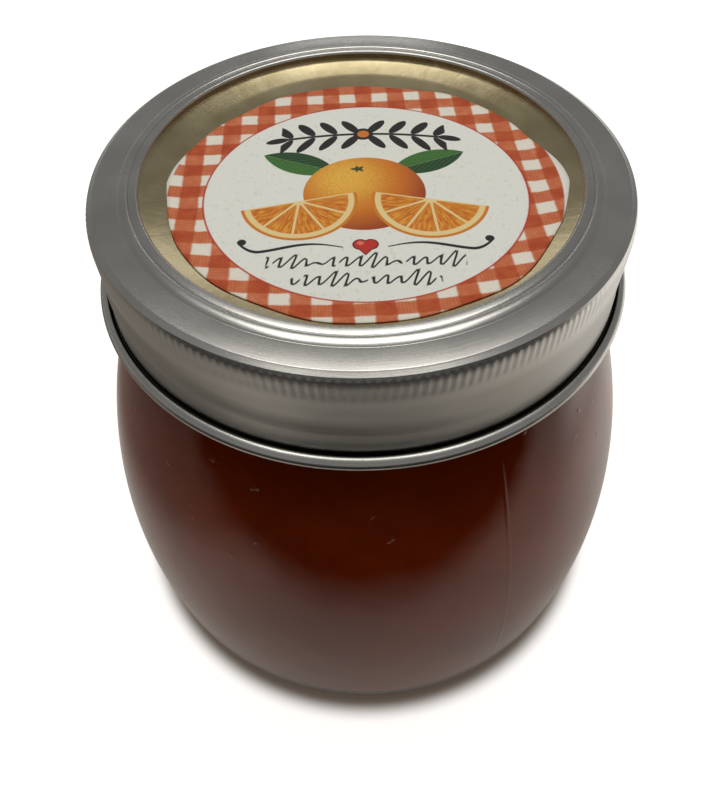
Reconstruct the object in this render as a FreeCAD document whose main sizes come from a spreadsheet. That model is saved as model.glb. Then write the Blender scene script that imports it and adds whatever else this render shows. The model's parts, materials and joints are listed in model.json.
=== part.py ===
"""Jelly jar: a squat pressed-glass jar of dark jelly under a two-piece closure.

Five rigid pieces, all turned about the Z axis and seated face to face:

  jar    glass, with a narrow finish, a full belly, a rounded heel and a pushed-up base
  jelly  the set contents, out to the glass and up to the fill line
  lid    gold steel disc, dished in the middle, hooked over the glass rim
  band   silver screw band: rolled lip, stiffening bead, plain skirt, groove and curled hem
  label  round paper sticker, cut out by hand, pressed over the step in the lid

The origin is the middle of the base ring, where the jar stands, and +Z is up.
"""
import FreeCAD, Part
import math
import os
import Sketcher
from FreeCAD import Vector

# --- driving sizes, millimetres --------------------------------------------------------
SIZES = [
    # glass jar, outside
    ("jar_height", 81.8, "base to glass rim"),
    ("finish_radius", 33.2, "glass wall under the band"),
    ("shoulder_step", 0.39, "shoulder outside the finish, in radius"),
    ("shoulder_drop", 1.72, "foot of the finish down to the shoulder"),
    ("shoulder_round", 4.0, "radius of the turn from finish to shoulder"),
    ("belly_radius", 44.0, "widest part"),
    ("belly_height", 18.0, "widest part above the base"),
    ("belly_sweep", 150.0, "curve from the widest part to the heel"),
    ("heel_round", 7.0, "turn from side to base"),
    ("foot_width", 5.5, "standing ring"),
    ("push_up", 2.2, "height of the hollow under the base"),
    # glass jar, inside
    ("finish_wall", 3.0, "glass thickness of the finish"),
    ("wall", 2.6, "glass thickness of the body"),
    ("floor_thick", 4.6, "glass over the base"),
    ("floor_round", 5.0, "inside turn from side to floor"),
    ("rim_round", 1.0, "rounding of the glass rim"),
    ("headspace", 6.3, "rim down to the fill line"),
    # lid disc
    ("lid_sheet", 0.25, "steel of the lid"),
    ("lid_clear", 0.4, "lid curl outside the finish"),
    ("lid_curl", 1.3, "depth of the lid's outer curl"),
    ("channel_inner", 4.6, "seat width inward from the finish wall"),
    ("channel_slope", 2.0, "run from the seat down to the ledge"),
    ("dish_depth", 1.45, "seat down to the ledge"),
    ("ledge_width", 2.0, "flat ledge between the slope and the step"),
    ("step_run", 1.4, "width of the step"),
    ("step_drop", 0.35, "ledge down to the centre panel"),
    # screw band
    ("band_sheet", 0.3, "steel of the band"),
    ("band_clear", 0.25, "band skirt outside the lid curl"),
    ("lip_reach", 5.4, "edge of the hole inward from the finish wall"),
    ("lip_round", 0.6, "rolled edge of the hole"),
    ("bead_width", 2.0, "stiffening bead beside the lip"),
    ("crown", 0.1, "rise of the top face towards the skirt"),
    ("corner_round", 0.9, "turn from the top to the skirt"),
    ("band_height", 15.1, "top face down to the hem"),
    ("hem_clear", 1.72, "foot of the finish below the hem"),
    ("groove_depth_down", 8.7, "top face down to the middle of the groove"),
    ("groove_height", 1.4, "width of the groove"),
    ("groove_inset", 0.4, "how far the groove goes in"),
    ("skirt_flare", 0.55, "how much the skirt widens below the groove"),
    ("hem_round", 0.9, "radius of the curled hem"),
    ("hem_out", 2.05, "hem beyond the skirt"),
    # paper label
    ("label_over", 0.05, "mean cut edge outside the step"),
    ("label_thick", 0.13, "paper"),
    ("label_off_x", 0.5, "centre of the label from the axis"),
    ("label_off_y", 1.8, "towards the front"),
]

# How far the scissors strayed from the circle, every 30 degrees from +X, millimetres.
CUT_WANDER = (1.30, -0.15, -0.40, -1.20, -0.10, 0.10, 1.05, 0.55, -0.30, -0.60, -0.50, -0.30)

doc = FreeCAD.newDocument("jelly_jar")
sheet = doc.addObject("Spreadsheet::Sheet", "Sizes")
for row, (alias, value, note) in enumerate(SIZES, start=1):
    sheet.set("A%d" % row, alias)
    sheet.set("B%d" % row, str(value))
    sheet.set("C%d" % row, note)
    sheet.setAlias("B%d" % row, alias)
doc.recompute()


# --- helpers ---------------------------------------------------------------------------
def sized(text):
    """Turn a formula in the sheet's aliases into a FreeCAD expression."""
    for alias, _, _ in sorted(SIZES, key=lambda item: -len(item[0])):
        text = text.replace("<" + alias + ">", "Sizes." + alias)
    return text


def value_of(owner, text):
    """The number that a formula gives with the present sizes."""
    result = owner.evalExpression(sized(text))
    return float(getattr(result, "Value", result))


def new_body(label):
    body = doc.addObject("PartDesign::Body", label.capitalize())
    body.Label = label
    return body


def origin_plane(body, role):
    return next(item for item in body.Origin.OriginFeatures if item.Role == role)


def new_sketch(body, name, role):
    sketch = body.newObject("Sketcher::SketchObject", name)
    sketch.AttachmentSupport = [(origin_plane(body, role), "")]
    sketch.MapMode = "FlatFace"
    return sketch


def bind(sketch, kind, *where_and_formula):
    """Add a dimension to the sketch and tie it to the sheet."""
    *where, formula = where_and_formula
    index = sketch.addConstraint(
        Sketcher.Constraint(kind, *where, value_of(sketch, formula)))
    sketch.setExpression("Constraints[%d]" % index, sized(formula))


def half_section(body, name, corners, arcs=None):
    """Closed outline in the XZ plane: corners as (radius, height) formulas, in order.

    arcs maps a corner's index to (radius formula, turn): the side that leaves that
    corner is then an arc, bulging to its left for turn -1 and to its right for +1.
    """
    arcs = arcs or {}
    sketch = new_sketch(body, name, "XZ_Plane")
    spots = [Vector(value_of(sketch, a), value_of(sketch, b), 0) for a, b in corners]
    count = len(spots)
    ends = []                                   # (geometry, start point, end point)
    for i, start in enumerate(spots):
        end = spots[(i + 1) % count]
        if i in arcs:
            radius, turn = value_of(sketch, arcs[i][0]), arcs[i][1]
            chord = end - start
            side = Vector(-chord.y, chord.x, 0).normalize()
            reach = (radius ** 2 - chord.Length ** 2 / 4) ** 0.5
            centre = (start + end) * 0.5 + side * reach * turn
            first, last = (start, end) if turn > 0 else (end, start)
            begin, finish = (math.atan2((p - centre).y, (p - centre).x) for p in (first, last))
            if finish < begin:
                finish += 2 * math.pi
            circle = Part.Circle(centre, Vector(0, 0, 1), radius)
            geometry = sketch.addGeometry(Part.ArcOfCircle(circle, begin, finish))
            ends.append((geometry, 1, 2) if turn > 0 else (geometry, 2, 1))
        else:
            geometry = sketch.addGeometry(Part.LineSegment(start, end))
            ends.append((geometry, 1, 2))
    for i in range(count):
        geometry, _, tail = ends[i]
        following, head, _ = ends[(i + 1) % count]
        sketch.addConstraint(
            Sketcher.Constraint("Coincident", geometry, tail, following, head))
    for i, (across, up) in enumerate(corners):
        geometry, head, _ = ends[i]
        if across == "0":
            sketch.addConstraint(Sketcher.Constraint("PointOnObject", geometry, head, -2))
        else:
            bind(sketch, "DistanceX", -1, 1, geometry, head, across)
        if up == "0":
            sketch.addConstraint(Sketcher.Constraint("PointOnObject", geometry, head, -1))
        else:
            bind(sketch, "DistanceY", -1, 1, geometry, head, up)
    for i, (radius, _) in arcs.items():
        bind(sketch, "Radius", ends[i][0], radius)
    return sketch


def turned(body, name, sketch, kind="PartDesign::Revolution"):
    """Turn a half section right round the Z axis, adding or cutting."""
    feature = body.newObject(kind, name)
    feature.Profile = sketch
    feature.ReferenceAxis = (sketch, ["V_Axis"])
    feature.Angle = 360.0
    body.Tip = feature
    return feature


# --- heights and radii that pieces share -------------------------------------------------
RIM = "<jar_height>"
BAND_TOP = "(<jar_height>+<lid_sheet>+<band_sheet>)"
FINISH_FOOT = "(%s-<band_height>-<hem_clear>)" % BAND_TOP
SHOULDER_Z = "(%s-<shoulder_drop>)" % FINISH_FOOT
SHOULDER_R = "(<finish_radius>+<shoulder_step>)"
MOUTH = "(<finish_radius>-<finish_wall>)"
FILL = "(<jar_height>-<headspace>)"
LID_SEAT = RIM                                   # underside of the lid on the glass
LID_TOP = "(<jar_height>+<lid_sheet>)"           # underside of the band's lip
LEDGE = "(<jar_height>+<lid_sheet>-<dish_depth>)"
PANEL = "(<jar_height>+<lid_sheet>-<dish_depth>-<step_drop>)"
CURL_IN = "(<finish_radius>+<lid_clear>)"
CURL_OUT = "(<finish_radius>+<lid_clear>+<lid_sheet>)"
SKIRT_IN = "(<finish_radius>+<lid_clear>+<lid_sheet>+<band_clear>)"
SKIRT_OUT = "(<finish_radius>+<lid_clear>+<lid_sheet>+<band_clear>+<band_sheet>)"
CHANNEL = "(<finish_radius>-<channel_inner>)"
STEP = "(%s-<channel_slope>-<ledge_width>)" % CHANNEL
OPENING = "(<finish_radius>-<lip_reach>)"
LABEL_R = "(%s+<label_over>)" % STEP

# The side of the body is one full arc from the shoulder to the widest part, upright there,
# and a flatter one on down into the heel. Both are offset by the wall for the inside.
SIDE_OUT = "(<belly_radius>-%s)" % SHOULDER_R
SIDE_UP = "(%s-<belly_height>)" % SHOULDER_Z
SIDE_SWEEP = "((%s^2+%s^2)/(2*%s))" % (SIDE_OUT, SIDE_UP, SIDE_OUT)


def side_of_body(inset, corner, base):
    """Corners and arc radii from the shoulder down to the base, inset from the outside."""
    shrink = "(1-%s/%s)" % (inset, SIDE_SWEEP)
    sweep = "(<belly_sweep>-%s)" % inset
    origin = "(<belly_radius>-<belly_sweep>)"
    drop = "(<belly_height>-%s-%s)" % (base, corner)
    reach = "sqrt((%s-%s)^2-%s^2)" % (sweep, corner, drop)
    corners = [
        ("<belly_radius>-%s+(%s-%s)*%s" % (SIDE_SWEEP, SIDE_SWEEP, SIDE_OUT, shrink),
         "<belly_height>+%s*%s" % (SIDE_UP, shrink)),
        ("<belly_radius>-%s" % inset, "<belly_height>"),
        ("%s+%s+%s*%s/(%s-%s)" % (origin, reach, corner, reach, sweep, corner),
         "%s+%s-%s*%s/(%s-%s)" % (base, corner, corner, drop, sweep, corner)),
        ("%s+%s" % (origin, reach), base),
    ]
    radii = ["%s-%s" % (SIDE_SWEEP, inset), sweep, corner]
    return corners, radii


# --- jar -------------------------------------------------------------------------------
jar = new_body("jar")
outside, out_radii = side_of_body("0", "<heel_round>", "0")
foot_edge = outside[-1][0]
inside, in_radii = side_of_body("<wall>", "<floor_round>", "<floor_thick>")
corners = [
    (MOUTH + "+<rim_round>", RIM),
    ("<finish_radius>-<rim_round>", RIM),
    ("<finish_radius>", RIM + "-<rim_round>"),
    ("<finish_radius>", FINISH_FOOT),
] + outside + [
    ("%s-<foot_width>" % foot_edge, "0"),
    ("0", "<push_up>"),
    ("0", "<floor_thick>"),
] + inside[::-1] + [
    (MOUTH, FINISH_FOOT + "-0.5*<shoulder_drop>"),
    (MOUTH, RIM + "-<rim_round>"),
]
arcs = {1: ("<rim_round>", -1), 3: ("<shoulder_round>", +1)}
arcs.update({4: (out_radii[0], -1), 5: (out_radii[1], -1), 6: (out_radii[2], -1)})
arcs.update({11: (in_radii[2], +1), 12: (in_radii[1], +1), 13: (in_radii[0], +1)})
arcs[16] = ("<rim_round>", -1)
turned(jar, "JarWall", half_section(jar, "JarSection", corners, arcs))

# --- jelly -----------------------------------------------------------------------------
jelly = new_body("jelly")
corners = [("0", FILL), (MOUTH, FILL),
           (MOUTH, FINISH_FOOT + "-0.5*<shoulder_drop>")] + inside
corners.append(("0", "<floor_thick>"))
arcs = {3: (in_radii[0], -1), 4: (in_radii[1], -1), 5: (in_radii[2], -1)}
turned(jelly, "JellyFill", half_section(jelly, "JellySection", corners, arcs))

# --- lid -------------------------------------------------------------------------------
# From the middle out: centre panel, step, ledge, slope, seat on the glass, outer curl.
lid = new_body("lid")
top = [
    ("0", PANEL),
    (STEP + "-<step_run>", PANEL),
    (STEP, LEDGE),
    (CHANNEL + "-<channel_slope>", LEDGE),
    (CHANNEL, LID_TOP),
    (CURL_OUT + "-0.5*<lid_curl>", LID_TOP),
    (CURL_OUT, LID_TOP + "-0.5*<lid_curl>"),
    (CURL_OUT, LID_TOP + "-<lid_curl>"),
]
under = [
    (CURL_IN, LID_TOP + "-<lid_curl>"),
    (CURL_IN, LID_TOP + "-0.5*<lid_curl>"),
    (CURL_OUT + "-0.5*<lid_curl>", LID_SEAT),
    (CHANNEL, LID_SEAT),
    (CHANNEL + "-<channel_slope>", LEDGE + "-<lid_sheet>"),
    (STEP, LEDGE + "-<lid_sheet>"),
    (STEP + "-<step_run>", PANEL + "-<lid_sheet>"),
    ("0", PANEL + "-<lid_sheet>"),
]
turned(lid, "LidSheet",
       half_section(lid, "LidSection", top + under, {5: ("0.5*<lid_curl>", -1)}))

# --- band ------------------------------------------------------------------------------
# Rolled lip and bead on top, corner, skirt with its groove, then the hem curled outwards.
band = new_body("band")
GROOVE = "(%s-<groove_depth_down>)" % BAND_TOP
HEM_Z = "(%s-<band_height>+<hem_round>)" % BAND_TOP
HEM_R = "(%s+<hem_out>-<hem_round>)" % SKIRT_OUT
LOW_OUT = "(%s+<skirt_flare>)" % SKIRT_OUT
LOW_IN = "(%s+0.3*<skirt_flare>)" % SKIRT_IN
LIP_Z = "(%s-0.7*<lip_round>)" % BAND_TOP
LIP_END = "(%s+<lip_round>*(1+cos(35)))" % OPENING
corners = [
    (OPENING, LIP_Z),
    (LIP_END, LIP_Z + "+<lip_round>*sin(35)"),
    (LIP_END + "+<bead_width>", BAND_TOP),
    (SKIRT_OUT + "-<corner_round>", BAND_TOP + "+<crown>"),
    (SKIRT_OUT, BAND_TOP + "-<corner_round>"),
    (SKIRT_OUT, GROOVE + "+0.5*<groove_height>"),
    (SKIRT_OUT + "-<groove_inset>", GROOVE),
    (SKIRT_OUT + "+0.3*<skirt_flare>", GROOVE + "-0.6*<groove_height>"),
    (LOW_OUT, HEM_Z + "+1.6*<hem_round>"),
    (HEM_R + "-<hem_round>*cos(48)", HEM_Z + "+<hem_round>*sin(48)"),
    (HEM_R + "+<hem_round>", HEM_Z),
    (HEM_R, HEM_Z + "-<hem_round>"),
    (HEM_R + "-<hem_round>", HEM_Z),
    (LOW_IN, HEM_Z + "+1.6*<hem_round>"),
    (LOW_IN, GROOVE + "-0.6*<groove_height>"),
    (SKIRT_IN + "-<groove_inset>", GROOVE),
    (SKIRT_IN, GROOVE + "+0.5*<groove_height>"),
    (SKIRT_IN, LID_TOP + "-0.9*(<corner_round>-<band_sheet>)"),
    (SKIRT_IN + "-0.6*(<corner_round>-<band_sheet>)", LID_TOP),
    (OPENING + "+0.5*<lip_round>", LID_TOP),
]
arcs = {
    0: ("<lip_round>", -1),
    1: ("0.6*<bead_width>", -1),
    3: ("1.1*<corner_round>", -1),
    9: ("<hem_round>", -1),
    10: ("<hem_round>", -1),
    11: ("<hem_round>", -1),
}
turned(band, "BandSheet", half_section(band, "BandSection", corners, arcs))

# --- label -----------------------------------------------------------------------------
# A pad with the hand-cut outline, then everything above and below the paper is turned away
# so that the paper lies on the panel and follows the step up on to the ledge.
label = new_body("label")
outline = new_sketch(label, "LabelOutline", "XY_Plane")
centre = Vector(value_of(outline, "<label_off_x>"), -value_of(outline, "<label_off_y>"), 0)
mean = value_of(outline, LABEL_R)
spots = []
for i, wander in enumerate(CUT_WANDER):
    turn = FreeCAD.Rotation(Vector(0, 0, 1), 30.0 * i)
    spots.append(centre + turn.multVec(Vector(mean + wander, 0, 0)))
edge = Part.BSplineCurve()
edge.interpolate(Points=spots, PeriodicFlag=True)
outline.addGeometry(edge)
pad = label.newObject("PartDesign::Pad", "LabelBlank")
pad.Profile = outline
pad.Length = 1.0
pad.setExpression("Length", sized(RIM + "+4*<lid_sheet>"))
label.Tip = pad
doc.recompute()

FAR = "2*" + LABEL_R
paper_low = [("0", PANEL), (STEP + "-<step_run>", PANEL), (STEP, LEDGE),
             (FAR, LEDGE)]
paper_high = [(across, up + "+<label_thick>") for across, up in paper_low]
below = half_section(label, "BelowPaper",
                     paper_low + [(FAR, "-2"), ("0", "-2")])
turned(label, "CutBelow", below, "PartDesign::Groove")
above = half_section(label, "AbovePaper",
                     [(FAR, RIM + "+9"), ("0", RIM + "+9")] + paper_high)
turned(label, "CutAbove", above, "PartDesign::Groove")

# --- check and write -------------------------------------------------------------------
doc.recompute()
for item in doc.Objects:
    if {"Invalid", "Error"} & set(item.State):
        raise RuntimeError("%s failed: %s" % (item.Label, item.State))

os.makedirs("parts", exist_ok=True)
for body in (jar, jelly, lid, band, label):
    shape = body.Shape
    if shape.isNull() or not shape.isValid() or len(shape.Solids) != 1:
        raise RuntimeError("%s has no single valid solid" % body.Label)
    shape.exportStep("parts/%s.step" % body.Label)
    box = shape.optimalBoundingBox()
    print("%-6s volume %9.1f  z %6.2f to %6.2f  radius %5.2f"
          % (body.Label, shape.Volume, box.ZMin, box.ZMax, box.XMax))
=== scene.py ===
"""Looks for the jelly jar: glass, jelly, gold lid, silver screw band and paper label.

Pieces and finishes are sized in millimetres, and become metres as they are made. The stage,
the lamps and the camera are in metres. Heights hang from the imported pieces' own boxes.
"""

import json
import math

import bmesh
import bpy
from mathutils import Matrix, Vector

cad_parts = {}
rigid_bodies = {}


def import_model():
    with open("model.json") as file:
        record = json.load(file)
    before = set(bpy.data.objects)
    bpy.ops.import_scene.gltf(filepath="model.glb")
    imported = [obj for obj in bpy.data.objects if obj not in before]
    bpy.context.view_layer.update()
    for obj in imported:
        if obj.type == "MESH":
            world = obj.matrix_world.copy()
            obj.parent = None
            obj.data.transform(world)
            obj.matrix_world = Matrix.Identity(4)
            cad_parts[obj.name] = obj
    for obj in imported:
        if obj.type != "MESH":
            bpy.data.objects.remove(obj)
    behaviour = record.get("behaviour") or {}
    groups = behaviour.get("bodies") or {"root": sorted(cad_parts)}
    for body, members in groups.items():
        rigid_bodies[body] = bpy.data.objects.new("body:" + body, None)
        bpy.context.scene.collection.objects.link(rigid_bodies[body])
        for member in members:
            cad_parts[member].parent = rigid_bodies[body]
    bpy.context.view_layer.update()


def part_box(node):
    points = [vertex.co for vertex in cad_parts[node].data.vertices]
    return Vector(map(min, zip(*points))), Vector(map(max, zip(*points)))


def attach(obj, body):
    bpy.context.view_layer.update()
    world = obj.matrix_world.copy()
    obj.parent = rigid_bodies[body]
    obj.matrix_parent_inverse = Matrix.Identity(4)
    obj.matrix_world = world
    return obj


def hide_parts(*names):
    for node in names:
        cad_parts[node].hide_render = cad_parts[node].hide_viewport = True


MM = 0.001
TURN = 2 * math.pi

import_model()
# A new file's own cube, lamp and camera.
for thing in [o for o in bpy.data.objects if o.name in ("Cube", "Light", "Camera")]:
    bpy.data.objects.remove(thing)


# --- making turned pieces ---
# The sides of the way from one section corner to the next.
LEFT, RIGHT = 1, -1


def box_mm(node):
    """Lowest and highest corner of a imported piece, in millimetres."""
    low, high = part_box(node)
    return Vector(low) / MM, Vector(high) / MM


def wire(bm, places):
    """Vertices joined one after the other, at places in millimetres."""
    verts = [bm.verts.new((radius * MM, 0, height * MM)) for radius, height in places]
    for a, b in zip(verts, verts[1:]):
        bm.edges.new((a, b))
    return verts


def section(corners, closed=True):
    """A half section, as a wire.

    A corner is (radius, height) or, where it is rounded, (radius, height, rounding, segments).
    A section that starts and ends on the axis isn't closed.
    """
    bm = bmesh.new()
    verts = wire(bm, [corner[:2] for corner in corners])
    if closed:
        bm.edges.new((verts[-1], verts[0]))
    for vert, corner in zip(verts, corners):
        if len(corner) == 2:
            continue
        rounding, segments = corner[2:]
        bmesh.ops.bevel(bm, geom=[vert], offset=rounding * MM, offset_type="OFFSET",
                        segments=segments, profile=0.5, affect="VERTICES", material=-1)
    return bm


def refine(bm, beyond, low, high, longest):
    """Cut what lies beyond a radius and between two heights into runs of at most longest."""
    hair = 1e-4
    for edge in list(bm.edges):
        x, z = [v.co.x / MM for v in edge.verts], [v.co.z / MM for v in edge.verts]
        inside = min(z) >= low - hair and max(z) <= high + hair and min(x) > beyond
        run = edge.calc_length() / MM
        if inside and run > longest:
            bmesh.ops.subdivide_edges(bm, edges=[edge], cuts=int(run / longest))


def spin_round(bm, steps, sectors=1):
    """Spin all there is round the upright axis, over the whole turn or one of its sectors."""
    bmesh.ops.spin(bm, geom=bm.verts[:] + bm.edges[:], cent=(0, 0, 0), axis=(0, 0, 1),
                   angle=TURN / sectors, steps=steps // sectors, use_merge=sectors == 1,
                   use_duplicate=False)


def turn_round(bm, steps, sectors=1):
    """Turn the section into a closed skin that faces outwards.

    A finely ribbed piece is spun over one sector, which is then repeated round the axis.
    """
    spin_round(bm, steps, sectors)
    sector = bm.verts[:] + bm.edges[:] + bm.faces[:]
    for i in range(1, sectors):
        copy = bmesh.ops.duplicate(bm, geom=sector)["geom"]
        bmesh.ops.rotate(bm, verts=[g for g in copy if isinstance(g, bmesh.types.BMVert)],
                         cent=(0, 0, 0), matrix=Matrix.Rotation(TURN * i / sectors, 3, "Z"))
    bmesh.ops.remove_doubles(bm, verts=bm.verts[:], dist=1e-6)
    bmesh.ops.recalc_face_normals(bm, faces=bm.faces[:])


def put_in_scene(name, data):
    """An object of the given mesh, lamp or camera, linked into the scene."""
    thing = bpy.data.objects.new(name, data)
    bpy.context.scene.collection.objects.link(thing)
    return thing


def mesh_object(bm, name, material):
    """Close a bmesh into an object of one material."""
    mesh = bpy.data.meshes.new(name)
    bm.to_mesh(mesh)
    bm.free()
    mesh.materials.append(material)
    return put_in_scene(name, mesh)


def piece(bm, name, material, node):
    """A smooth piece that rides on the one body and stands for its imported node."""
    for face in bm.faces:
        face.smooth = True
    thing = mesh_object(bm, name, material)
    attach(thing, "root")
    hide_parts(node)


def arc(place_a, place_b, sweep, count, centre_on):
    """The places between two section corners on an arc of radius sweep, cut into count runs.

    Its centre lies to the LEFT or the RIGHT of the way from the first to the second.
    """
    a, b = Vector(place_a), Vector(place_b)
    chord = b - a
    side = Vector((-chord.y, chord.x)).normalized() * centre_on
    centre = (a + b) / 2 + side * math.sqrt(sweep ** 2 - chord.length ** 2 / 4)
    start = math.atan2((a - centre).y, (a - centre).x)
    end = math.atan2((b - centre).y, (b - centre).x)
    while end - start > math.pi:
        end -= TURN
    while start - end > math.pi:
        end += TURN
    points = []
    for i in range(1, count):
        t = start + (end - start) * i / count
        points.append((centre.x + sweep * math.cos(t), centre.y + sweep * math.sin(t)))
    return points


def smooth(value, start, end):
    """0 at start, 1 at end, smooth between them."""
    share = min(1.0, max(0.0, (value - start) / (end - start)))
    return share * share * (3 - 2 * share)


# --- writing materials ---
class Amount:
    """A number in a material's node tree, so that patterns read as plain arithmetic."""

    def __init__(self, finish, socket):
        self.finish, self.socket = finish, socket

    def _with(self, operation, *others, swap=False):
        values = (others[0], self) if swap else (self, *others)
        return self.finish.figure(operation, *values)

    def __add__(self, other): return self._with("ADD", other)
    def __radd__(self, other): return self._with("ADD", other)
    def __sub__(self, other): return self._with("SUBTRACT", other)
    def __rsub__(self, other): return self._with("SUBTRACT", other, swap=True)
    def __mul__(self, other): return self._with("MULTIPLY", other)
    def __truediv__(self, other): return self._with("DIVIDE", other)
    def __pow__(self, other): return self._with("POWER", other)
    def __neg__(self): return self._with("MULTIPLY", -1.0)
    def __abs__(self): return self._with("ABSOLUTE")
    def high(self, other): return self._with("MAXIMUM", other)
    def root(self): return self._with("SQRT")
    def sine(self): return self._with("SINE")
    def cosine(self): return self._with("COSINE")
    def wrap(self, size): return self._with("FLOORED_MODULO", size)

    def step(self, start, end):
        """0 below start, 1 above end, smooth between them; falls if end is lower."""
        return self.finish.ramp(self, start, end)


class Finish:
    """One material, the nodes that draw it, and places on the piece in millimetres."""

    def __init__(self, name):
        self.material = bpy.data.materials.new(name)
        self.material.use_nodes = True
        self.tree = self.material.node_tree
        self.tree.nodes.clear()
        self.out = self.node("ShaderNodeOutputMaterial")
        where = self.node("ShaderNodeTexCoord")
        self.where = where.outputs["Object"]
        split = self.node("ShaderNodeSeparateXYZ")
        self.link(self.where, split.inputs[0])
        self.x, self.y, self.z = (Amount(self, s) / MM for s in split.outputs)

    def node(self, kind, **settings):
        made = self.tree.nodes.new(kind)
        for key, value in settings.items():
            setattr(made, key, value)
        return made

    def link(self, source, target):
        self.tree.links.new(source, target)

    def feed(self, value, socket):
        """Give a socket what it takes: an amount, a node's output, a colour or a number."""
        if isinstance(value, Amount):
            self.link(value.socket, socket)
        elif hasattr(value, "is_output"):
            self.link(value, socket)
        elif isinstance(value, tuple):
            socket.default_value = (*value, 1.0)
        else:
            socket.default_value = value

    def figure(self, operation, *values):
        """The result of one step of arithmetic."""
        made = self.node("ShaderNodeMath", operation=operation)
        for value, socket in zip(values, made.inputs):
            self.feed(value, socket)
        return Amount(self, made.outputs[0])

    def ramp(self, value, start, end):
        """0 on start's side, 1 on end's side, whichever of the two is higher."""
        made = self.node("ShaderNodeMapRange", interpolation_type="SMOOTHSTEP")
        self.feed(value, made.inputs["Value"])
        rising = end > start
        self.feed(min(start, end), made.inputs["From Min"])
        self.feed(max(start, end), made.inputs["From Max"])
        self.feed(0.0 if rising else 1.0, made.inputs["To Min"])
        self.feed(1.0 if rising else 0.0, made.inputs["To Max"])
        return Amount(self, made.outputs["Result"])

    def spot(self, x, y, z=0.0):
        """A place made of three numbers, in millimetres."""
        made = self.node("ShaderNodeCombineXYZ")
        for value, socket in zip((x, y, z), made.inputs):
            self.feed(value, socket)
        return made.outputs[0]

    def distance(self, place):
        """How far a place is from the origin."""
        made = self.node("ShaderNodeVectorMath", operation="LENGTH")
        self.feed(place, made.inputs[0])
        return Amount(self, made.outputs["Value"])

    def radius(self):
        """The distance from the upright axis."""
        return (self.x * self.x + self.y * self.y).root()

    def noise(self, where, scale, detail, rough):
        """Cloudy noise, about 0 to 1 round 0.5. The scale is per unit of the place."""
        made = self.node("ShaderNodeTexNoise")
        self.feed(where, made.inputs["Vector"])
        for key, value in (("Scale", scale), ("Detail", detail), ("Roughness", rough)):
            self.feed(value, made.inputs[key])
        return Amount(self, made.outputs[0])

    def blend(self, amount, under, over):
        """Lay one colour over another."""
        made = self.node("ShaderNodeMix", data_type="RGBA", clamp_factor=True)
        factor, colour_a, colour_b, colour_out = 0, 6, 7, 2
        self.feed(amount, made.inputs[factor])
        self.feed(under, made.inputs[colour_a])
        self.feed(over, made.inputs[colour_b])
        return made.outputs[colour_out]

    def bump(self, height, distance):
        """A normal that follows a height in units of distance, in millimetres."""
        made = self.node("ShaderNodeBump")
        self.feed(1.0, made.inputs["Strength"])
        self.feed(distance * MM, made.inputs["Distance"])
        self.feed(height, made.inputs["Height"])
        return made.outputs["Normal"]

    def round_axis(self):
        """The direction that runs round the upright axis."""
        made = self.node("ShaderNodeTangent", direction_type="RADIAL", axis="Z")
        return made.outputs[0]

    def surface(self, **values):
        """The Principled shader with the given inputs, by name with _ for spaces."""
        made = self.node("ShaderNodeBsdfPrincipled")
        for key, value in values.items():
            self.feed(value, made.inputs[key.replace("_", " ")])
        return made.outputs[0]

    def done(self, shader):
        """The material, with the shader on its output."""
        self.link(shader, self.out.inputs["Surface"])
        return self.material


def srgb(*levels):
    """A colour given as screen levels from 0 to 255, for a shader."""
    return tuple((c / 255 / 12.92 if c <= 10 else ((c / 255 + 0.055) / 1.055) ** 2.4)
                 for c in levels)


# --- finishes ---
BAND_HEIGHT = 15.1
BAND_TOP = box_mm("band")[0].z + BAND_HEIGHT
# A quarter turn: the sheen spreads across the grain.
ACROSS_THE_GRAIN = 0.25
# The smudge's depth is from the band's top, the seam's angle from the front, in radians.
SMUDGE_X, SMUDGE_Y, SMUDGE_DOWN = 11.6, -32.4, 1.2
SEAM_ANGLE = 0.50


def silver_tinplate():
    """Satin tinplate, rolled round the band, so that its grain runs round the axis.

    The skirt is duller than the top, and paler over the knurl and just under it, a painted
    sheen.
    The crease over the hem is darkened as painted shade; a smudge on the knurl is dark dirt.
    """
    f = Finish("silver tinplate")

    def between(start, end):
        """0 at one depth below the band's top, 1 at the other."""
        return f.z.step(BAND_TOP - start, BAND_TOP - end)

    radius = f.radius()
    angle = f.figure("ARCTAN2", f.y, f.x)
    cloud = f.noise(f.where, 90, 3, 0.55)
    streak = f.noise(f.spot(angle * 6.0, radius * 5.0, f.z * 5.0), 1.0, 3, 0.6)
    grain = f.noise(f.where, 2600, 2, 0.6)
    # The last, dark colour is dirt on the smudge and painted shade in the crease.
    worn, bright, pale, dirt_and_crease_shade = ((0.47, 0.455, 0.425), (0.54, 0.525, 0.49), (0.66, 0.645, 0.61),
                                (0.045, 0.040, 0.030))
    skirt = between(0.5, 1.4) * between(12.9, 12.5)
    # Painted shade: the crease over the hem is darkened in the base colour.
    crease = radius.step(35.28, 35.12) * between(12.75, 13.15)
    smudge = f.distance(f.spot(f.x - SMUDGE_X, (f.y - SMUDGE_Y) * 0.7,
                               (f.z - BAND_TOP + SMUDGE_DOWN) * 1.4))
    smudge = smudge.step(2.1, 0.6) * cloud.step(0.42, 0.60)
    tone = f.blend(cloud.step(0.3, 0.7), worn, bright)
    # Painted sheen: a paler base colour over the knurl and just under it.
    tone = f.blend(skirt * between(6.5, 4.0), tone, pale)
    # Painted shade in the crease and dirt on the smudge, in one dark colour.
    tone = f.blend(crease.high(smudge * 0.75), tone, dirt_and_crease_shade)
    shader = f.surface(Base_Color=tone, Metallic=1.0,
                       Roughness=0.23 + cloud * 0.05 + streak * 0.03 + skirt * 0.10,
                       Anisotropic=0.3, Anisotropic_Rotation=ACROSS_THE_GRAIN,
                       Tangent=f.round_axis(), Normal=f.bump(grain * 0.6 + streak, 0.004))
    return f.done(shader)


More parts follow.
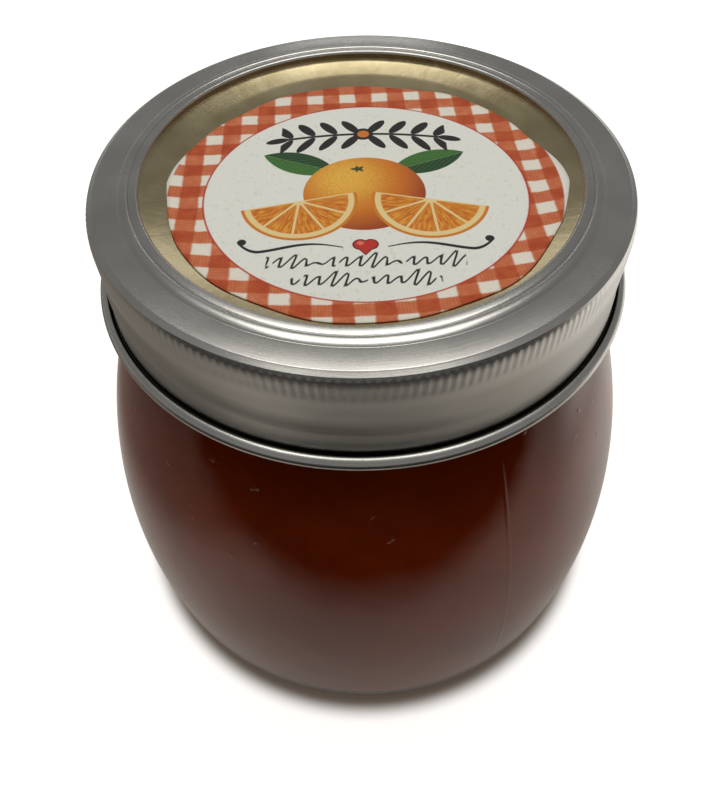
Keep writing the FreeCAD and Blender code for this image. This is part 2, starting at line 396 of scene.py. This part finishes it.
def gold_lacquer():
    """Gold lacquer on the lid, drawn and slightly rippled round the dish."""
    f = Finish("gold lacquer")
    radius = f.radius()
    angle = f.figure("ARCTAN2", f.y, f.x)
    draw = f.noise(f.spot(angle * 26.0, radius * 0.35), 1.0, 4, 0.65)
    cloud = f.noise(f.where, 160, 3, 0.6)
    tone = f.blend(cloud.step(0.3, 0.7), (0.46, 0.38, 0.215), (0.56, 0.475, 0.29))
    shader = f.surface(Base_Color=tone, Metallic=1.0, Roughness=0.20 + cloud * 0.06,
                       Anisotropic=0.4, Anisotropic_Rotation=ACROSS_THE_GRAIN,
                       Tangent=f.round_axis(), Normal=f.bump(draw * 1.5 + cloud, 0.014))
    return f.done(shader)


def clear_glass():
    """Pressed glass, softly wavy, with a mould seam and small bubbles. It throws no shadow."""
    f = Finish("clear glass")
    wave = f.noise(f.where, 45, 2, 0.5)
    from_front = f.figure("ARCTAN2", f.x, -f.y)
    seam = abs(from_front - SEAM_ANGLE).step(0.012, 0.0)
    seam = seam * f.z.step(66.0, 58.0) * f.z.step(8.0, 14.0)
    bubble = f.noise(f.where, 520, 2, 0.5).step(0.70, 0.78)
    shader = f.surface(Base_Color=(0.97, 0.985, 0.975), Roughness=0.02, IOR=1.5,
                       Specular_IOR_Level=0.36, Specular_Tint=(1.0, 0.955, 0.89),
                       Transmission_Weight=1.0,
                       Normal=f.bump(wave + seam * 0.35 + bubble * 0.6, 0.10))
    unshaded = f.node("ShaderNodeBsdfTransparent")
    path = f.node("ShaderNodeLightPath")
    mix = f.node("ShaderNodeMixShader")
    f.link(path.outputs["Is Shadow Ray"], mix.inputs[0])
    f.link(shader, mix.inputs[1])
    f.link(unshaded.outputs[0], mix.inputs[2])
    return f.done(mix.outputs[0])


def dark_jelly():
    """Set jelly against the glass: deep red-brown with cloudy patches."""
    f = Finish("dark jelly")
    cloud = f.noise(f.where, 60, 4, 0.6)
    tone = f.blend(cloud.step(0.35, 0.7), (0.22, 0.023, 0.0010), (0.30, 0.038, 0.0030))
    shader = f.surface(Base_Color=tone, Roughness=0.5, Specular_IOR_Level=0.0)
    return f.done(shader)


# --- the printed label ---
# Middles, half sizes and repeats on the paper, in millimetres. CHECK_TURN is in degrees.
PRINT_X, PRINT_Y = 0.51, -2.02
CUT_X, CUT_Y, CUT_R = 0.47, -2.07, 24.75
RING_WIDE, RING_HIGH = 20.45, 19.35
CHECK, CHECK_UP = 4.64, 4.45
CHECK_TURN, CHECK_X, CHECK_Y = 2.6, 3.39, 2.90
YARN = 0.40
PEN_WAVE, PEN_WORD = 1.55, 7.7
INK = srgb(34, 32, 30)


class Print(Finish):
    """Ink laid on paper, layer over layer, in millimetres from the middle of the design."""

    def __init__(self, name, paper):
        super().__init__(name)
        self.u, self.v = self.x - PRINT_X, self.y - PRINT_Y
        self.colour = paper
        self.wobble = self.noise(self.where, 700, 2, 0.6)

    def lay(self, amount, colour):
        """Print one colour over what is there."""
        self.colour = self.blend(amount, self.colour, colour)

    def frame_at(self, x, y, turn=0.0):
        """The design's two directions, moved to a place and turned in degrees."""
        c, s = math.cos(math.radians(turn)), math.sin(math.radians(turn))
        u, v = self.u - x, self.v - y
        return u * c + v * s, v * c - u * s

    def round_of(self, u, v, wide=1.0, high=1.0):
        """Distance from the middle, 1 on an oval of the given half sizes."""
        u, v = u / wide, v / high
        return (u * u + v * v).root()


def gingham(f, reach):
    """Woven checks from the edge of the inner disc outwards, slightly worn."""
    u, v = f.frame_at(0, 0, CHECK_TURN)
    across = (u - CHECK_X).wrap(CHECK) - CHECK / 2
    along = (v - CHECK_Y).wrap(CHECK_UP) - CHECK_UP / 2
    edge = (f.wobble - 0.5) * 0.35
    bars = (abs(across) + edge).step(CHECK / 4 + 0.22, CHECK / 4 - 0.12)
    rows = (abs(along) + edge).step(CHECK_UP / 4 + 0.22, CHECK_UP / 4 - 0.12)
    weave_u = (u * (TURN / YARN)).sine() * 0.5 + 0.5
    weave_v = (v * (TURN / YARN)).sine() * 0.5 + 0.5
    worn = f.noise(f.where, 520, 4, 0.7)
    threads = bars * weave_v + rows * weave_u
    tone = f.blend(threads * 0.45, srgb(208, 114, 70), srgb(190, 86, 46))
    tone = f.blend(worn.step(0.45, 0.85) * 0.6, tone, srgb(226, 160, 116))
    tone = f.blend(worn.step(0.5, 0.2) * 0.6, tone, srgb(186, 76, 36))
    deep = f.blend(worn.step(0.3, 0.8), srgb(178, 66, 22), srgb(198, 92, 44))
    ring = reach.step(0.995, 1.002)
    f.lay(ring * (1.0 - bars.high(rows)) * 0.5, srgb(240, 224, 200))
    f.lay(ring * bars.high(rows), tone)
    f.lay(ring * bars * rows, deep)


def leaf(f, x, y, turn, length, width):
    """A pointed leaf, where two discs overlap, with a pale rib and side veins."""
    u, v = f.frame_at(x, y, turn)
    half = length / 2
    bow = (half * half + width * width / 4) / width
    side = bow - width / 2
    lower = f.round_of(u, v + side, bow, bow)
    upper = f.round_of(u, v - side, bow, bow)
    body = lower.high(upper)
    vein_gap = 0.95
    vein = ((u * 0.9 + abs(v) * 1.6) * (TURN / vein_gap)).sine()
    tone = f.blend(v.step(-0.4, 0.5), srgb(28, 66, 34), srgb(62, 112, 46))
    tone = f.blend(vein.step(0.5, 1.0) * 0.35, tone, srgb(92, 136, 70))
    tone = f.blend(abs(v).step(0.12, 0.04) * 0.7, tone, srgb(104, 146, 84))
    f.lay(body.step(1.008, 0.996), tone)


def whole_fruit(f, x, y, size):
    """A round orange with pored peel, lit from the upper left."""
    u, v = f.frame_at(x, y)
    away = f.round_of(u, v, size, size * 0.94)
    lit = f.round_of(u + size * 0.30, v - size * 0.36, size, size)
    pores = f.noise(f.spot(f.u, f.v), 2.6, 2, 0.5)
    tone = f.blend(lit.step(0.10, 1.0), srgb(240, 182, 66), srgb(212, 116, 22))
    tone = f.blend(lit.step(0.8, 1.5), tone, srgb(152, 52, 12))
    bright_pores = pores.step(0.55, 0.75) * lit.step(0.8, 0.2) * 0.7
    tone = f.blend(bright_pores, tone, srgb(240, 206, 110))
    tone = f.blend(pores.step(0.45, 0.3) * 0.25, tone, srgb(150, 70, 12))
    f.lay(away.step(1.0, 0.985), tone)
    stem_u, stem_v = f.frame_at(x - size * 0.1, y + size * 0.62)
    spin = f.figure("ARCTAN2", stem_v, stem_u)
    star = f.round_of(stem_u, stem_v, 0.75, 0.5) * (1.0 + (spin * 5.0).cosine() * 0.3)
    f.lay(star.step(1.05, 0.8), srgb(60, 78, 30))


def fruit_slice(f, x, y, size, turn):
    """Half a round slice, flat side up, with peel, pith and five segments."""
    u, v = f.frame_at(x, y, turn)
    away = f.round_of(u, v, size, size)
    shape = away.step(1.0, 0.985) * v.step(0.06, -0.06)
    f.lay(shape, srgb(214, 128, 26))
    f.lay(shape * away.step(0.945, 0.925), srgb(240, 214, 150))
    spin = f.figure("ARCTAN2", v, u)
    segment = math.pi / 5
    wedge = abs(spin.wrap(segment) - segment / 2)
    from_skin = (segment / 2 - wedge) * away * size
    pulp = from_skin.step(0.10, 0.22) * away.step(0.85, 0.82)
    pulp = pulp * v.step(-0.12, -0.26) * away.step(0.08, 0.14)
    cells = f.noise(f.spot(spin * 9.0, away * 3.0), 1.6, 3, 0.6)
    tone = f.blend(cells.step(0.35, 0.7), srgb(200, 102, 12), srgb(238, 164, 54))
    f.lay(pulp * shape, tone)


def heart_and_swashes(f, y):
    """A small red heart between two drawn-out strokes that end in a dot."""
    u, v = f.frame_at(0, y)
    side = abs(u)
    lobe = f.round_of(side - 0.62, v - 0.35, 0.78, 0.78)
    point = side * 0.78 + (0.25 - v) * 0.62 - 0.98
    inside = point.step(0.03, -0.03) * v.step(0.45, 0.35) * v.step(-1.75, -1.6)
    inside = lobe.step(1.04, 0.96).high(inside)
    outline = (point - 0.14).step(0.03, -0.03) * v.step(0.55, 0.45)
    outline = lobe.step(1.26, 1.16).high(outline)
    reach = side.step(2.5, 2.8) * side.step(15.2, 14.9)
    wave_length, end_curl_from = 15.0, 12.4
    curl = ((side - 2.6) * (TURN / wave_length)).sine() * 0.65
    curl = curl + (side - end_curl_from).high(0.0) ** 2.0 * 0.22
    width = 0.10 + side.step(2.5, 10.0) * 0.14
    line = (abs(v - curl + 0.1) - width).step(0.05, -0.05) * reach
    dot = f.round_of(side - 14.7, v - 1.05, 0.55, 0.55).step(1.1, 0.9)
    glint = f.round_of(u + 0.6, v - 0.6, 0.5, 0.4)
    f.lay(line.high(dot), INK)
    f.lay(outline, srgb(74, 26, 20))
    f.lay(inside, f.blend(glint.step(0.4, 1.2), srgb(236, 120, 96), srgb(196, 46, 30)))


def pen_line(f, y, shift, reach):
    """Slanted pen waves of uneven height, in runs, where something would be handwritten."""
    u, v = f.frame_at(0, y)
    lift, half_pen = 0.9, 0.15
    turn = (u - v * 0.5) * (TURN / PEN_WAVE)
    tall = 0.72 + ((u + shift) * 1.37).sine() * 0.30 + ((u + shift) * 0.63).cosine() * 0.34
    climb = tall * turn.cosine() * (TURN / PEN_WAVE)
    off = abs(v - tall * turn.sine() * lift - tall * 0.35)
    off = off / (1.0 + climb * climb * (lift * lift)).root()
    line = (off - half_pen).step(0.07, -0.07)
    words = abs((u + shift + 3.3).wrap(PEN_WORD) - PEN_WORD / 2).step(3.75, 3.55)
    f.lay(line * words * (abs(u) - reach).step(0.1, -0.1), INK)


def garland(f, low, rise, reach):
    """A bowed sprig with slanted leaves in pairs, and a berry in the middle."""
    u, v = f.u, f.v - low + f.u * f.u * rise
    side, lift = abs(u), abs(v)
    half_stem, pair = 0.24, 3.0
    stem = (lift - half_stem).step(0.07, -0.07)
    leaf_u = side.wrap(pair) - pair / 2 - (lift - 1.3) * 0.62
    leaves = f.round_of(leaf_u, lift - 1.75, 0.80, 1.55).step(1.05, 0.96)
    f.lay(stem.high(leaves) * (side - reach).step(0.08, -0.08), INK)
    tip = f.round_of(side - reach - 0.5, v, 1.5, 0.62)
    f.lay(tip.step(1.06, 0.94), INK)
    berry = f.round_of(u, v, 1.35, 1.35)
    f.lay(berry.step(1.05, 0.95), INK)
    f.lay(f.round_of(u, v, 0.8, 0.8).step(1.05, 0.95), srgb(214, 120, 40))


def printed_paper():
    """White paper with a gingham ring and a thin red line round a fruit design."""
    f = Print("printed label paper", srgb(238, 238, 228))
    fibre = f.noise(f.where, 3200, 3, 0.7)
    speck = f.noise(f.where, 1500, 2, 0.5)
    f.lay(speck.step(0.60, 0.72) * 0.30, srgb(196, 190, 160))
    f.lay(speck.step(0.40, 0.28) * 0.25, srgb(196, 200, 208))
    reach = f.round_of(f.u - 0.15, f.v + 0.95, RING_WIDE, RING_HIGH)
    gingham(f, reach)
    red_line = (abs(reach - 1.0) * 20.0 - 0.12).step(0.08, -0.08)
    f.lay(red_line * 0.9, srgb(190, 52, 34))
    leaf(f, -8.4, 5.2, 158, 10.5, 4.4)
    leaf(f, 8.4, 5.2, 22, 10.5, 4.4)
    whole_fruit(f, 0.0, -1.0, 7.8)
    fruit_slice(f, -8.2, -2.6, 7.4, 13)
    fruit_slice(f, 8.2, -2.6, 7.4, -13)
    garland(f, 11.7, 0.010, 11.2)
    heart_and_swashes(f, -11.2)
    pen_line(f, -14.0, 0.0, 11.6)
    pen_line(f, -17.0, 4.0, 8.6)
    cut = f.round_of(f.x - CUT_X, f.y - CUT_Y)
    f.lay(cut.step(CUT_R, CUT_R + 0.20), srgb(236, 232, 222))
    shader = f.surface(Base_Color=f.colour, Roughness=0.75, Normal=f.bump(fibre, 0.02))
    return f.done(shader)


silver = silver_tinplate()
gold = gold_lacquer()
glass = clear_glass()
jelly_stuff = dark_jelly()
paper = printed_paper()

# --- the screw band ---
# The steps of all the ribs have to divide by the sectors.
RIBS, RIB_DEPTH, STEPS_A_RIB, SECTORS = 217, 0.085, 4, 31
# The knurl and the thread lie beyond this radius, and above this height from the top.
OUTSIDE, SKIRT_FOOT = 34.25, -12.55
THREAD_Z, THREAD_PITCH = -8.1, 6.35


def knurl(angle, z):
    """How deep the knurl cuts into the corner, at a height from the band's top."""
    reach = smooth(z, -3.95, -2.9) * smooth(z, -0.35, -1.3)
    return RIB_DEPTH * reach * (0.5 + 0.5 * math.cos(angle * RIBS))


def thread_at(angle):
    """The groove's height from the band's top, and how far it is on the left, 0 to 1."""
    return THREAD_Z - THREAD_PITCH * angle / TURN, 0.5 - 0.5 * math.sin(angle)


def thread_groove(angle, z):
    """How deep the thread is rolled into the skirt; deeper and wider on the left."""
    middle, left = thread_at(angle)
    off = (z - middle) / (0.8 + 0.4 * left)
    return (0.03 + 0.50 * left ** 4) * math.exp(-off * off) * smooth(z, -3.6, -4.6)


def thread_ridge(angle, z):
    """How far the skirt stands out under the groove."""
    middle, left = thread_at(angle)
    off = (z - middle + 1.7 + 0.4 * left) / 0.8
    return (0.02 + 0.16 * left ** 3) * math.exp(-off * off)


def screw_band():
    """One curled sheet: lip, bead, top, knurled corner, threaded skirt and hem."""
    t = BAND_TOP
    corners = [
        (27.78, t - 0.10, 0.10, 2), (27.84, t + 0.36, 0.34, 4), (28.92, t + 0.22, 0.22, 3),
        (29.04, t + 0.12, 0.08, 2), (29.22, t + 0.36, 0.32, 4), (30.16, t + 0.26, 0.40, 4),
        (30.50, t - 0.02, 0.25, 3), (32.20, t + 0.04, 1.2, 3), (33.40, t - 0.07, 0.75, 4),
        (34.10, t - 0.40, 0.50, 4), (34.50, t - 1.20, 0.70, 4), (34.52, t - 4.0, 0.5, 2),
        (34.50, t - 5.4, 0.6, 2), (34.48, t - 8.4, 1.4, 3), (34.62, t - 10.6, 1.4, 3),
        (34.74, t - 12.6, 0.4, 2), (34.72, t - 13.80, 0.12, 2), (35.10, t - 13.75, 0.12, 2),
        (35.20, t - 13.02, 0.18, 3), (36.14, t - 13.10, 0.80, 5),
        (36.42, t - 14.60, 0.90, 5), (35.30, t - BAND_HEIGHT, 0.60, 3),
        (34.62, t - 14.70, 0.40, 2), (34.50, t - 12.6), (33.95, t - 11.2), (33.80, t - 8.0),
        (33.80, t - 1.0, 0.4, 2), (33.70, t - 0.36), (28.3, t - 0.32),
    ]
    bm = section(corners)
    # Short runs for the knurl, longer ones for the thread.
    refine(bm, OUTSIDE, t - 4.2, t - 1.0, longest=0.60)
    refine(bm, OUTSIDE, t - 12.5, t - 4.0, longest=1.30)
    turn_round(bm, RIBS * STEPS_A_RIB, SECTORS)
    for vert in bm.verts:
        r = math.hypot(vert.co.x, vert.co.y) / MM
        z = vert.co.z / MM - t
        if r < OUTSIDE or z < SKIRT_FOOT:
            continue
        angle = math.atan2(vert.co.x, -vert.co.y)
        move = -knurl(angle, z) - thread_groove(angle, z) + thread_ridge(angle, z)
        scale = (r + move) / r
        vert.co.x *= scale
        vert.co.y *= scale
    piece(bm, "screw_band", silver, "band")


# --- the lid ---
LID_TOP = box_mm("lid")[1].z
PANEL_DEPTH, PANEL_R, LEDGE_R = 1.80, 22.5, 24.75
SHEET = 0.25
ROUND_STEPS, JELLY_STEPS = 288, 192


def dished_lid():
    """Drawn sheet: centre panel, step, sloping ledge, steep wall, seat and outer curl."""
    t = LID_TOP
    corners = [
        (0.0, t - PANEL_DEPTH), (PANEL_R, t - PANEL_DEPTH, 0.8, 6),
        (LEDGE_R, t - 1.45, 0.35, 4), (28.1, t - 0.47, 0.45, 5), (28.5, t - 0.02, 0.25, 4),
        (33.2, t, 0.3, 3),
        (33.85, t - 0.65, 0.2, 3), (33.85, t - 1.30), (33.6, t - 1.30),
        (33.6, t - 0.65, 0.2, 3), (33.1, t - 0.25, 0.2, 3), (28.7, t - 0.25, 0.25, 4),
        (28.3, t - 0.72, 0.45, 4), (LEDGE_R, t - 1.45 - SHEET, 0.35, 4),
        (PANEL_R, t - PANEL_DEPTH - SHEET, 0.8, 4), (0.0, t - PANEL_DEPTH - SHEET),
    ]
    bm = section(corners, closed=False)
    turn_round(bm, ROUND_STEPS)
    piece(bm, "dished_lid", gold, "lid")


# --- glass and jelly ---
RIM, RIM_R, MOUTH_R = box_mm("jar")[1].z, 33.2, 30.2
BELLY, BELLY_Z, LOW_SWEEP = box_mm("jar")[1].x, 18.0, 150.0
FINISH_FOOT = BAND_TOP - BAND_HEIGHT - 1.72
MOUTH_FOOT = FINISH_FOOT - 0.86
SHOULDER = (33.59, FINISH_FOOT - 1.72)
WALL, FLOOR, FLOOR_CORNER, HEEL_CORNER = 2.6, 4.6, 5.0, 7.0
FOOT_RING, PUSH_UP = 5.5, 2.2
JELLY_TOP = box_mm("jelly")[1].z
INTO_WALL = 0.15


def body_side(inset, corner, base):
    """Section places from the shoulder to the base, inset from the outside of the glass."""
    out, up = BELLY - SHOULDER[0], SHOULDER[1] - BELLY_Z
    sweep = (out * out + up * up) / (2 * out)
    shrink = 1 - inset / sweep
    top = (BELLY - sweep + (sweep - out) * shrink, BELLY_Z + up * shrink)
    low_sweep = LOW_SWEEP - inset
    drop = BELLY_Z - base - corner
    reach = math.sqrt((low_sweep - corner) ** 2 - drop ** 2)
    centre = BELLY - LOW_SWEEP
    heel = (centre + reach + corner * reach / (low_sweep - corner),
            base + corner - corner * drop / (low_sweep - corner))
    foot = (centre + reach, base)
    belly = (BELLY - inset, BELLY_Z)
    places = [top] + arc(top, belly, sweep - inset, 26, RIGHT) + [belly]
    places += arc(belly, heel, low_sweep, 10, RIGHT) + [heel]
    places += arc(heel, foot, corner, 9, RIGHT) + [foot]
    return places


def glass_jar():
    """The glass from the floor's middle up the inside, over the rim and down to the base."""
    outside = body_side(0.0, HEEL_CORNER, 0.0)
    inside = body_side(WALL, FLOOR_CORNER, FLOOR)
    foot = outside[-1][0]
    corners = [(0.0, FLOOR)] + inside[::-1] + [(MOUTH_R, MOUTH_FOOT, 0.8, 4)]
    corners += [(MOUTH_R, RIM, 1.0, 5), (RIM_R, RIM, 1.0, 5), (RIM_R, FINISH_FOOT)]
    corners += arc((RIM_R, FINISH_FOOT), SHOULDER, 4.0, 4, LEFT) + outside
    corners += [(foot - FOOT_RING, 0.0, 0.6, 4), (foot - 9.0, 1.5, 2.0, 5), (0.0, PUSH_UP)]
    bm = section(corners, closed=False)
    turn_round(bm, ROUND_STEPS)
    piece(bm, "glass_jar", glass, "jar")


def jelly_fill():
    """The jelly reaches a little into the wall, so no gap shows behind the glass."""
    floor = FLOOR - INTO_WALL
    inside = body_side(WALL - INTO_WALL, FLOOR_CORNER, floor)
    mouth = MOUTH_R + INTO_WALL
    corners = [(0.0, floor)] + inside[::-1]
    corners += [(mouth, MOUTH_FOOT), (mouth, JELLY_TOP), (0.0, JELLY_TOP)]
    bm = section(corners, closed=False)
    turn_round(bm, JELLY_STEPS)
    piece(bm, "jelly_fill", jelly_stuff, "jelly")


# --- the label ---
LABEL_X, LABEL_Y, LABEL_R = 0.5, -2.1, 24.5
LABEL_RINGS, LABEL_STEPS, LABEL_THICK, LABEL_LIFT = 40, 240, 0.11, 0.13
# Angle and size of the corners that the scissors left, as a share of the radius.
CUT_CORNERS = ((math.radians(177), 0.034), (math.radians(-1), 0.048))
# The paper bends up between two radii, then follows the ledge. Its edge curls a little.
BEND_FROM, BEND_TO, BEND_UP, LEDGE_SLOPE, CURL = 22.3, 24.9, 0.37, 0.285, 0.02


def cut_edge(angle):
    """How far the scissors went, as a share of the label's radius: wavy, with two corners."""
    cut = 1 + 0.006 * math.sin(angle * 7 + 1) + 0.004 * math.sin(angle * 13)
    for corner, size in CUT_CORNERS:
        off = abs((angle - corner + math.pi) % TURN - math.pi)
        cut += size * max(0.0, 1 - off / 0.42)
    far, near = smooth(math.sin(angle), 0.8, 1.0), smooth(-math.sin(angle), 0.6, 1.0)
    return cut - (0.02 * far + 0.025 * near)


def paper_label():
    """A scissor-cut disc of paper that bends up over the step of the lid."""
    bm = bmesh.new()
    wire(bm, [(LABEL_R * i / LABEL_RINGS, 0) for i in range(LABEL_RINGS + 1)])
    spin_round(bm, LABEL_STEPS)
    bmesh.ops.remove_doubles(bm, verts=bm.verts[:], dist=1e-7)
    panel = LID_TOP - PANEL_DEPTH + LABEL_LIFT
    for vert in bm.verts:
        out = math.hypot(vert.co.x, vert.co.y) / MM / LABEL_R
        stretch = 1 + (cut_edge(math.atan2(vert.co.y, vert.co.x)) - 1) * out ** 6
        x, y = vert.co.x / MM * stretch + LABEL_X, vert.co.y / MM * stretch + LABEL_Y
        away = math.hypot(x, y)
        z = panel + BEND_UP * smooth(away, BEND_FROM, BEND_TO) + CURL * out ** 8
        z += LEDGE_SLOPE * max(0.0, away - LEDGE_R)
        vert.co = (x * MM, y * MM, z * MM)
    bmesh.ops.recalc_face_normals(bm, faces=bm.faces[:])
    if bm.faces[0].normal.z < 0:
        bmesh.ops.reverse_faces(bm, faces=bm.faces[:])
    bmesh.ops.solidify(bm, geom=bm.faces[:], thickness=LABEL_THICK * MM)
    bmesh.ops.recalc_face_normals(bm, faces=bm.faces[:])
    piece(bm, "paper_label", paper, "label")


screw_band()
dished_lid()
glass_jar()
jelly_fill()
paper_label()

# --- stage, lights and camera ---
# The table's own colour, painted shadow under the jar, and painted shade for the sheets.
TABLE, PAINTED_SHADOW_UNDER_JAR = (0.78, 0.73, 0.67), (0.30, 0.235, 0.18)
PAINTED_SHADE_AT_LEFT, PAINTED_SHADE_IN_FRONT = (0.33, 0.30, 0.265), (0.016, 0.014, 0.012)
SHADE_EDGE = -0.056
JUST_OFF = 0.0002


def white_table():
    """A white table, bright to the eye, keeps the jar's shadow and has painted shadow under
    it.
    """
    f = Finish("white table")
    away = f.radius()
    diffuse = f.node("ShaderNodeBsdfDiffuse")
    # Painted shadow: dark brown under the jar's foot.
    f.feed(f.blend(away.step(42.5, 45.5), PAINTED_SHADOW_UNDER_JAR, TABLE), diffuse.inputs["Color"])
    path = f.node("ShaderNodeLightPath")
    seen, glossy, through = (Amount(f, path.outputs["Is %s Ray" % kind])
                             for kind in ("Camera", "Glossy", "Transmission"))
    seen = seen * away.step(43.0, 46.8)
    lit = f.node("ShaderNodeEmission")
    behind = f.y.step(SHADE_EDGE / MM, 0.0)
    glow = behind * away.step(90.0, 160.0).high(f.x.step(50.0, 100.0) * 0.45)
    f.feed(seen.high(glossy.high(through) * glow) * 0.70 + 0.01, lit.inputs["Strength"])
    add = f.node("ShaderNodeAddShader")
    f.link(diffuse.outputs[0], add.inputs[0])
    f.link(lit.outputs[0], add.inputs[1])
    return f.done(add.outputs[0])


def shaded_table():
    """Painted shade as glass and metal see the table: darker to the left, black farther off in
    front.
    """
    f = Finish("shaded table")
    fold = f.noise(f.where, 18, 4, 0.6)
    left = f.x.step(-52.0, -92.0)
    front = (f.y + (fold - 0.5) * (22.0 + left * 20.0)).step(-70.0, -114.0)
    diffuse = f.node("ShaderNodeBsdfDiffuse")
    # Painted shade that only reflections see.
    f.feed(f.blend(front, f.blend(left, TABLE, PAINTED_SHADE_AT_LEFT), PAINTED_SHADE_IN_FRONT),
           diffuse.inputs["Color"])
    return f.done(diffuse.outputs[0])


def flat_sheet(name, low, high, height, material):
    """A level sheet between two corners, for the stage."""
    bm = bmesh.new()
    (x0, y0), (x1, y1) = low, high
    bm.faces.new([bm.verts.new((x, y, height))
                  for x, y in ((x0, y0), (x1, y0), (x1, y1), (x0, y1))])
    thing = mesh_object(bm, name, material)
    return thing


def shade_sheet(name, low, high, material):
    """A sheet just above the table that only reflections see."""
    sheet = flat_sheet(name, low, high, JUST_OFF, material)
    sheet.visible_camera = sheet.visible_shadow = sheet.visible_diffuse = False


def studio_world():
    """Grey all round: darkest on the way up to the middle, and slightly brighter in front."""
    world = bpy.data.worlds.new("studio")
    bpy.context.scene.world = world
    world.use_nodes = True
    nodes, links = world.node_tree.nodes, world.node_tree.links
    nodes.clear()
    out = nodes.new("ShaderNodeOutputWorld")
    sky = nodes.new("ShaderNodeBackground")
    where = nodes.new("ShaderNodeTexCoord")
    split = nodes.new("ShaderNodeSeparateXYZ")
    links.new(where.outputs["Generated"], split.inputs[0])
    height = nodes.new("ShaderNodeValToRGB")
    first, last = height.color_ramp.elements
    first.position, last.position = 0.0, 1.0
    first.color, last.color = (0.30, 0.30, 0.30, 1), (0.34, 0.34, 0.34, 1)
    height.color_ramp.elements.new(0.72).color = (0.22, 0.22, 0.22, 1)
    links.new(split.outputs["Z"], height.inputs[0])
    depth = nodes.new("ShaderNodeMapRange")
    for key, value in (("From Min", -0.7), ("From Max", 0.3),
                       ("To Min", 1.15), ("To Max", 1.0)):
        depth.inputs[key].default_value = value
    links.new(split.outputs["Y"], depth.inputs["Value"])
    links.new(height.outputs[0], sky.inputs["Color"])
    links.new(depth.outputs[0], sky.inputs["Strength"])
    links.new(sky.outputs[0], out.inputs[0])


def lamp(name, place, size, power, colour):
    """A panel of light that faces the lid."""
    data = bpy.data.lights.new(name, "AREA")
    data.shape = "RECTANGLE"
    data.size, data.size_y = size
    data.energy = power
    data.color = colour
    thing = put_in_scene(name, data)
    thing.location = place
    aim = (Vector((0, 0, 0.08)) - Vector(place)).to_track_quat("-Z", "Y")
    thing.rotation_euler = aim.to_euler()
    thing.visible_camera = False


def front_camera():
    """The camera, looking down on the jar from the front."""
    data = bpy.data.cameras.new("camera")
    data.sensor_width, data.lens = 36.0, 32.30
    data.shift_x, data.shift_y = -0.0003, -0.0433
    data.clip_start, data.clip_end = 0.005, 10.0
    camera = put_in_scene("camera", data)
    right = Vector((0.99980, -0.005970, -0.019092))
    up = Vector((0.016614, 0.779399, 0.626308))
    back = Vector((0.011141, -0.626500, 0.779342))
    facing = Matrix((right, up, back)).transposed()
    camera.matrix_world = Matrix.Translation((0.0, -0.077789, 0.137745)) @ facing.to_4x4()
    bpy.context.scene.camera = camera


flat_sheet("floor", (-3, -3), (3, 3), -JUST_OFF, white_table())
shade = shaded_table()
shade_sheet("shade in front", (-1.0, -1.2), (1.0, SHADE_EDGE), shade)
shade_sheet("shade at the left", (-1.0, SHADE_EDGE), (-0.050, 0.8), shade)
studio_world()
lamp("high softbox", (0.0, 0.16, 1.07), (0.80, 0.66), 5.2, (1.0, 0.99, 0.955))
lamp("low window", (0.0, 1.08, 0.55), (0.26, 0.12), 0.16, (0.97, 0.99, 1.0))
front_camera()
bpy.context.scene.view_settings.view_transform = "Standard"
